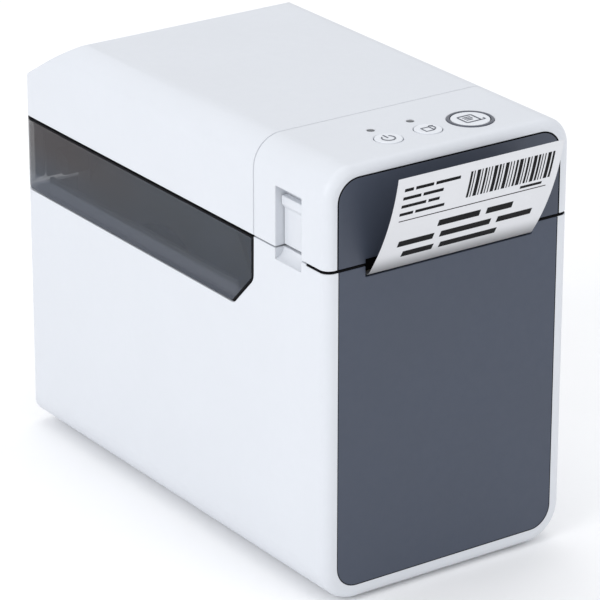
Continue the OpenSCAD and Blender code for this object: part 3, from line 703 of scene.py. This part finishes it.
def mark(u0, u1, s0, s1):
    """A printed bar from u0 to u1 across and s0 to s1 up the label."""
    rows = max(1, int((s1 - s0) / 1.5))
    verts, faces = [], []
    for r in range(rows + 1):
        s = s0 + (s1 - s0) * r / rows
        point, normal = on_line(label_line, label_run, s)
        for offset in (-0.02, 0.01):
            for u in (u0, u1):
                spot = point + normal * offset
                verts.append(at(u, spot.x, spot.y))
    for r in range(rows):
        a, b = r * 4, r * 4 + 4
        faces += [(a + 2, a + 3, b + 3, b + 2), (a, a + 2, b + 2, b), (a + 1, b + 1, b + 3, a + 3),
                  (a, b, b + 1, a + 1)]
    faces += [(0, 1, 3, 2), (rows * 4, rows * 4 + 2, rows * 4 + 3, rows * 4 + 1)]
    return verts, faces


def bars(rows, left, top, pitch, tall):
    """Rows of bars, each bar (start, end) in mm from left, the first row top mm below the tip."""
    for row, spans in enumerate(rows):
        upper = SHEET - top - row * pitch
        for start, end in spans:
            marks.append(mark(left + start, left + end, upper - tall, upper))


# what is printed: a rule, small bars, a block of stripes, one bar below it and large bars
marks = [mark(-33.5, 33.5, SHEET - 19.6, SHEET - 19.15)]
bars((((0, 4), (5, 13), (14, 25)), ((0, 8), (9, 18)), ((0, 11), (12, 17)), ((0, 6), (7, 20))),
     -34.0, 4.6, 3.6, 1.35)
stripe_x = -4.5
for width in (1.0, 0.5, 1.6, 0.5, 1.0, 0.5, 0.5, 1.6, 1.0, 0.5, 1.6, 0.5, 0.5, 1.0, 1.6, 0.5,
              1.0, 0.5, 1.6, 1.0, 0.5, 0.5, 1.6, 1.0):
    marks.append(mark(stripe_x, stripe_x + width, SHEET - 15.6, SHEET - 4.0))
    stripe_x += width + (0.6 if width > 0.8 else 0.85)
marks.append(mark(21.0, 31.0, SHEET - 18.0, SHEET - 16.8))
bars((((-14, 5), (8, 20)), ((-30, -14), (-11, 12), (15, 31)), ((-26, -12), (-9, 17))),
     0.0, 23.6, 6.4, 3.1)
place(build("label_marks", *join(*marks), INK), "base")


# ---- label roll, core ------------------------------------------------------

CORE_R = (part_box("roll_core")[1].z - ROLL_CENTRE.z) / MM
BORE_R = 12.5
roll_profile = sleeve(CORE_R + 0.02, ROLL_R, LABEL_HALF, 0.25, 3)
roll = build("wound_roll", *turned(roll_profile, ROLL_CENTRE, "x", 160), ROLL_PAPER)
place(roll, "roll", ["label_roll"])
core_profile = sleeve(BORE_R, CORE_R, LABEL_HALF, 0.3, 3)
core = build("card_core", *turned(core_profile, ROLL_CENTRE, "x", 96), FINISH["card"])
place(core, "roll", ["roll_core"])


# ---- keys, ring, lamps -----------------------------------------------------

ICON_SCALE = 1.2

def key_cap(node, body, icon, lines):
    """A cap with a soft rim, a shallow dish and its printed symbol."""
    low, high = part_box(node)
    x, d, top = local(Vector(((low.x + high.x) / 2, (low.y + high.y) / 2, high.z)))
    foot = (low.z - FOOT) / MM
    skirt = (high.x - low.x) / 2 / MM
    r = skirt - 0.8
    under = TOP - 2.8
    crown = top - 0.07
    outline = [(0, crown - 0.12), (r * 0.5, crown - 0.10), (r * 0.8, crown - 0.04), (r, crown),
               (r, under - 0.4), (skirt, under - 0.4), (skirt, under - 1.4),
               (2, under - 1.4), (2, foot), (0, foot)]
    outline = fillet(outline, [0, 0, 0, 0.35, 0, 0.1, 0.1, 0, 0.2, 0], 4, closed=False)
    profile = [(a, h - crown) for a, h in outline]
    cap = build(node + "_cap", *turned(profile, at(x, d, crown), "z", 72), FINISH["key_plastic"])
    place(cap, body, [node])
    print_on = join(*[ribbon([(x + ICON_SCALE * a, d + ICON_SCALE * b) for a, b in line],
                             width, crown - 0.12, top, shut)
                      for line, width, shut in lines])
    place(build(icon, *print_on, ICON), body)


def arc(radius, start, stop, steps=28, centre=(0.0, 0.0)):
    """(x, d) points of an arc between two angles in degrees."""
    return [(centre[0] + radius * math.cos(math.radians(start + (stop - start) * k / steps)),
             centre[1] + radius * math.sin(math.radians(start + (stop - start) * k / steps)))
            for k in range(steps + 1)]


key_cap("power_button", "power_key", "power_symbol",
        [(arc(2.1, 125, 415), 0.45, False), ([(0, 0.3), (0, 2.9)], 0.45, False)])
key_cap("feed_button", "feed_key", "feed_symbol",
        [([(-1.9, -1.9), (1.1, -1.9), (1.1, 1.2), (-1.9, 1.2)], 0.4, True),
         (arc(1.7, -80, 60, 16, (0.9, 0.2)), 0.4, False),
         ([(0.7, 1.0), (1.7, 1.9), (2.9, 1.5)], 0.4, False)])
key_cap("print_button", "print_key", "print_symbol",
        [(fillet([(-3.1, -2.6), (2.3, -2.6), (2.3, 2.9), (-3.1, 2.9)], 0.5, 3), 0.5, True),
         ([(-1.9, 1.5), (1.1, 1.5)], 0.35, False), ([(-1.9, 0.4), (1.1, 0.4)], 0.35, False),
         ([(-1.9, -0.7), (0.4, -0.7)], 0.35, False),
         ([(1.6, -2.6), (3.9, -2.6), (3.9, -1.4)], 0.5, False)])

ring_low, ring_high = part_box("button_ring")
ring_centre = middle("button_ring")
ring_out = (ring_high.x - ring_low.x) / 2 / MM
RING_BORE_R = 7.8
ring_h = (ring_high.z - ring_low.z) / 2 / MM
ring_profile = sleeve(RING_BORE_R, ring_out, ring_h, [0.05, 0.05, 0.4, 0.3], 5)
ring = build("trim_ring", *turned(ring_profile, ring_centre, "z", 96), FINISH["ring_plastic"])
place(ring, "lid", ["button_ring"])

lamp_low, lamp_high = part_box("lamp_lenses")
lamp_r = (lamp_high.y - lamp_low.y) / 2 / MM
lamp_top = (lamp_high.z - FOOT) / MM
lamp_d = local(middle("lamp_lenses"))[1]
lamps = []
for x in (lamp_low.x / MM + lamp_r, lamp_high.x / MM - lamp_r):
    lamps.append(turned([(0, 0.0), (lamp_r * 0.5, -0.03), (lamp_r * 0.85, -0.10),
                         (lamp_r, -0.25), (lamp_r, -7.0), (0, -7.0)],
                        at(x, lamp_d, lamp_top), "z", 32))
place(build("lamp_domes", *join(*lamps), FINISH["lens"]), "lid", ["lamp_lenses"])


# ---- small hardware --------------------------------------------------------

TURNS, PER_TURN, COIL_R, WIRE_R, COIL_INSET = 7, 18, 2.6, 0.42, 3.05
WIRE_SEAT = 0.45
spring_low, spring_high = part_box("head_springs")
_, spring_d, spring_foot = local(Vector((0, middle("head_springs").y, spring_low.z)))
spring_top = local(spring_high)[2]
springs = []
for x in (spring_low.x / MM + COIL_INSET, spring_high.x / MM - COIL_INSET):
    points = []
    for k in range(TURNS * PER_TURN + 1):
        t = k / (TURNS * PER_TURN)
        # the end turns lie flat
        share = min(1.0, max(0.0, (t * TURNS - 0.6) / (TURNS - 1.2)))
        lift = spring_foot + WIRE_SEAT + (spring_top - spring_foot - 2 * WIRE_SEAT) * share
        turn = 2 * math.pi * TURNS * t
        points.append(at(x + COIL_R * math.cos(turn), spring_d + COIL_R * math.sin(turn), lift))
    springs.append(tube(points, WIRE_R, 8))
place(build("coil_springs", *join(*springs), FINISH["zinc_steel"], 60), "lid",
      ["head_springs"])


def cross_head(centre, axis, direction, r, height, shank_r=0.0, shank=0.0, steps=40):
    """A pan head with a cross recess, its top facing along direction on the axis."""
    first, second, along = AXES[axis]
    along = along * direction
    verts, faces = [], []

    def ring_of(radius, lift):
        start = len(verts)
        for k in range(steps):
            t = 2 * math.pi * (k + 0.5) / steps
            verts.append(centre + along * (lift * MM)
                         + (first * math.cos(t) + second * math.sin(t)) * (radius * MM))
        return list(range(start, start + steps))

    levels = [ring_of(r * 0.98, 0.0), ring_of(r, height * 0.35), ring_of(r * 0.94, height * 0.75),
              ring_of(r * 0.78, height)]
    if shank:
        levels.insert(0, ring_of(shank_r, 0.0))
        levels.insert(0, ring_of(shank_r, -shank))
    for one, two in zip(levels, levels[1:]):
        for k in range(steps):
            n = (k + 1) % steps
            faces.append((one[k], two[k], two[n], one[n]))
    faces.append(tuple(levels[0]))
    arm, half = r * 0.55, r * 0.14
    cross = [(arm, -half), (arm, half), (half, half), (half, arm), (-half, arm), (-half, half),
             (-arm, half), (-arm, -half), (-half, -half), (-half, -arm), (half, -arm),
             (half, -half)]
    loops = []
    for lift, shrink in ((height, 1.0), (height * 0.35, 0.8)):
        start = len(verts)
        for a, b in cross:
            verts.append(centre + along * (lift * MM)
                         + (first * a + second * b) * (shrink * MM))
        loops.append(list(range(start, start + len(cross))))
    for k in range(len(cross)):
        n = (k + 1) % len(cross)
        faces.append((loops[0][k], loops[0][n], loops[1][n], loops[1][k]))
    faces.append(tuple(loops[1]))
    rim = levels[-1]
    span = steps // 4
    for q in range(4):
        outer = [rim[(q * span + k) % steps] for k in range(span + 1)]
        tip_a, inner, tip_b = (loops[0][(q * 3 + k + 1) % 12] for k in range(3))
        faces.append(tuple(outer) + (tip_b, inner, tip_a))
        start_tip = loops[0][(q * 3) % 12]
        faces.append((rim[(q * span) % steps], tip_a, start_tip))
    return verts, faces


screws = []
for x in (-38, 38):
    for d in (12, BACK - 12):
        screws.append(cross_head(at(x, d, 0.0), "z", -1, 1.9, 0.6, 1.2, 6.0))
place(build("case_screw_heads", *join(*screws), FINISH["zinc_steel"]), "base",
      ["case_screws"])
MOTOR_HEAD_R = 2.2
motor_low, motor_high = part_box("motor_screws")
_, motor_d, motor_h = local(middle("motor_screws"))
spread = (motor_high.y - motor_low.y) / 2 / MM - MOTOR_HEAD_R
screws = [cross_head(Vector((motor_low.x, 0, 0)) + at(0, motor_d + side * spread, motor_h),
                     "x", 1, MOTOR_HEAD_R, 1.2)
          for side in (-1, 1)]
place(build("motor_screw_heads", *join(*screws), FINISH["zinc_steel"]), "base",
      ["motor_screws"])

feet = []
for x in (-31, 31):
    for d in (24, BACK - 24):
        outline = fillet([(0, 0.0), (6.0, 0.0), (5.75, -1.2), (3.2, -1.2), (2.8, -0.8), (0, -0.8)],
                         [0, 0.05, 0.35, 0.1, 0.1, 0], 4, closed=False)
        feet.append(turned(outline, at(x, d, 0.0), "z", 48))
place(build("ribbed_feet", *join(*feet), FINISH["soft_rubber"]), "base",
      ["rubber_feet"])

# black strips standing for the shade in the gap below the lid's front, and round the side windows
split_h = local(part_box("head_cover")[0])[2]
gap_shade_strips = []
for side in (-1, 1):
    corner = fillet([(side * 55.35, 12.4), (side * 55.35, 0.65), (side * 39.0, 0.65)], 3.4, 8,
                    False)
    gap_shade_strips.append(ribbon(corner, 0.8, split_h - 1.12, split_h - 0.2))
    edge = fillet([(46.45, split_h - 0.6), (46.65, 117.4), (59.8, 103.95), (198.0, 103.95)],
                  [0, 5.25, 4.25, 0], 6, False)
    # drawn lying flat, then stood up: its x is depth, its d is height, its h is thickness
    verts, faces = ribbon(edge, 0.42, 0.0, 1.0)
    gap_shade_strips.append(([at(side * (53.4 + 1.9 * out), depth, height)
                     for depth, height, out in map(local, verts)], faces))
place(build("gap_shade_pieces", *join(*gap_shade_strips), GAP_SHADE), "base")

# dark strips standing for the shade in the gaps round the two front panels, drawn lying flat and
# then stood up
PANEL_SHADE_OFF, PANEL_SHADE_W, PANEL_SHADE_FRONT, PANEL_SHADE_DEEP = 0.07, 0.8, 0.04, 1.6
for body, node, closed_below, open_h in (
        ("base", "front_panel_lower", True, split_h - 1.3),
        ("lid", "front_panel_upper", False, split_h)):
    low, high = local(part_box(node)[0]), local(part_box(node)[1])
    closed_h = low[2] - PANEL_SHADE_OFF if closed_below else high[2] + PANEL_SHADE_OFF
    side = high[0] + PANEL_SHADE_OFF
    line = fillet([(-side, open_h), (-side, closed_h), (side, closed_h), (side, open_h)], 9.0,
                  12, False)
    verts, faces = ribbon(line, PANEL_SHADE_W, 0.0, 1.0)
    verts = [at(x, PANEL_SHADE_FRONT + PANEL_SHADE_DEEP * inward, height)
             for x, height, inward in map(local, verts)]
    place(build(node + "_shade_strip", verts, faces, GAP_SHADE), body)

# a black lip behind the slot's upper edge, which hides the inside of the slot and whose black
# stands for the shade there, and the strip that closes the lid's seam on top
LIP_HALF, LIP_D, SEAM_HALF = 37.9, 3.0, 44.0
lip = ribbon([(-LIP_HALF, LIP_D), (LIP_HALF, LIP_D)], 1.2, 131.1, 136.4)
place(build("slot_lip_shade", *lip, GAP_SHADE), "lid")
seam_line = local(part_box("lid_cover")[0])[1] - 0.15
filler = ribbon([(-SEAM_HALF, seam_line), (SEAM_HALF, seam_line)], 0.26, 171.2, TOP - 0.06)
place(build("seam_filler", *filler, FINISH["white_plastic"]), "lid")

# flat cable from the print head up to the control board
FLEX_HALF, FLEX_T = 14.0, 0.2
flex = smooth_line([(28.0, 136.0), (33.0, 136.6), (38.0, 140.0), (38.5, 148.0), (37.8, 154.0),
                    (38.6, 160.0), (37.0, 163.6), (33.0, 163.8)], 8)
place(build("head_flex", *strip(flex, FLEX_HALF, 0.0, FLEX_T, 2), COPPER_FOIL), "lid")


# ---- floor, light, camera --------------------------------------------------

FLOOR = 9.0
floor_mesh = bpy.data.meshes.new("floor")
floor_mesh.from_pydata([(-FLOOR, -FLOOR, 0), (FLOOR, -FLOOR, 0), (FLOOR, FLOOR, 0),
                        (-FLOOR, FLOOR, 0)], [], [(0, 1, 2, 3)])
floor = bpy.data.objects.new("floor", floor_mesh)
bpy.context.scene.collection.objects.link(floor)
floor_mesh.materials.append(plain("floor", (0.965, 0.965, 0.97), 0.9, grain_mm=3.0,
                                  grain_depth=0.02, drift=0.01, edge_mm=0.1, rub=0.0))


def softbox(name, place_at, aim, size, power, colour=(1.0, 1.0, 1.0)):
    """A rectangular lamp that faces aim."""
    light = bpy.data.lights.new(name, "AREA")
    light.shape = "RECTANGLE"
    light.size, light.size_y = size
    light.energy = power
    light.color = colour
    obj = bpy.data.objects.new(name, light)
    obj.location = place_at
    obj.rotation_euler = (Vector(aim) - Vector(place_at)).to_track_quat("-Z", "Y").to_euler()
    bpy.context.scene.collection.objects.link(obj)


AIM = (0.0, 0.0, 0.08)
softbox("left_box", (-2.2, -0.3, 1.1), AIM, (1.6, 1.6), 23.0, (0.97, 0.98, 1.0))
softbox("top_box", (0.2, 0.4, 2.4), AIM, (2.0, 2.0), 13.0)
softbox("front_box", (0.9, -2.2, 0.9), AIM, (1.4, 1.4), 9.0)

world = bpy.data.worlds.new("studio")
bpy.context.scene.world = world
world.use_nodes = True
sky = world.node_tree.nodes["Background"]
sky.inputs["Color"].default_value = (0.97, 0.98, 1.0, 1.0)
sky.inputs["Strength"].default_value = 0.82

AZIMUTH, ELEVATION, ROLL = -34.856, 22.242, 0.063
DISTANCE, LENS, SENSOR = 1.470, 224.11, 36.0
TARGET = Vector((0.00045, 0.00017, 0.08019))
camera_data = bpy.data.cameras.new("camera")
camera_data.sensor_width = SENSOR
camera_data.lens = LENS
camera_data.clip_end = 50.0
camera = bpy.data.objects.new("camera", camera_data)
a, e = math.radians(AZIMUTH), math.radians(ELEVATION)
towards = Vector((math.sin(a) * math.cos(e), -math.cos(a) * math.cos(e), math.sin(e)))
camera.location = TARGET + towards * DISTANCE
aimed = (-towards).to_track_quat("-Z", "Y").to_matrix()
camera.rotation_euler = (aimed @ Matrix.Rotation(math.radians(ROLL), 3, "Z")).to_euler()
bpy.context.scene.collection.objects.link(camera)
bpy.context.scene.camera = camera
bpy.context.scene.view_settings.view_transform = "Standard"
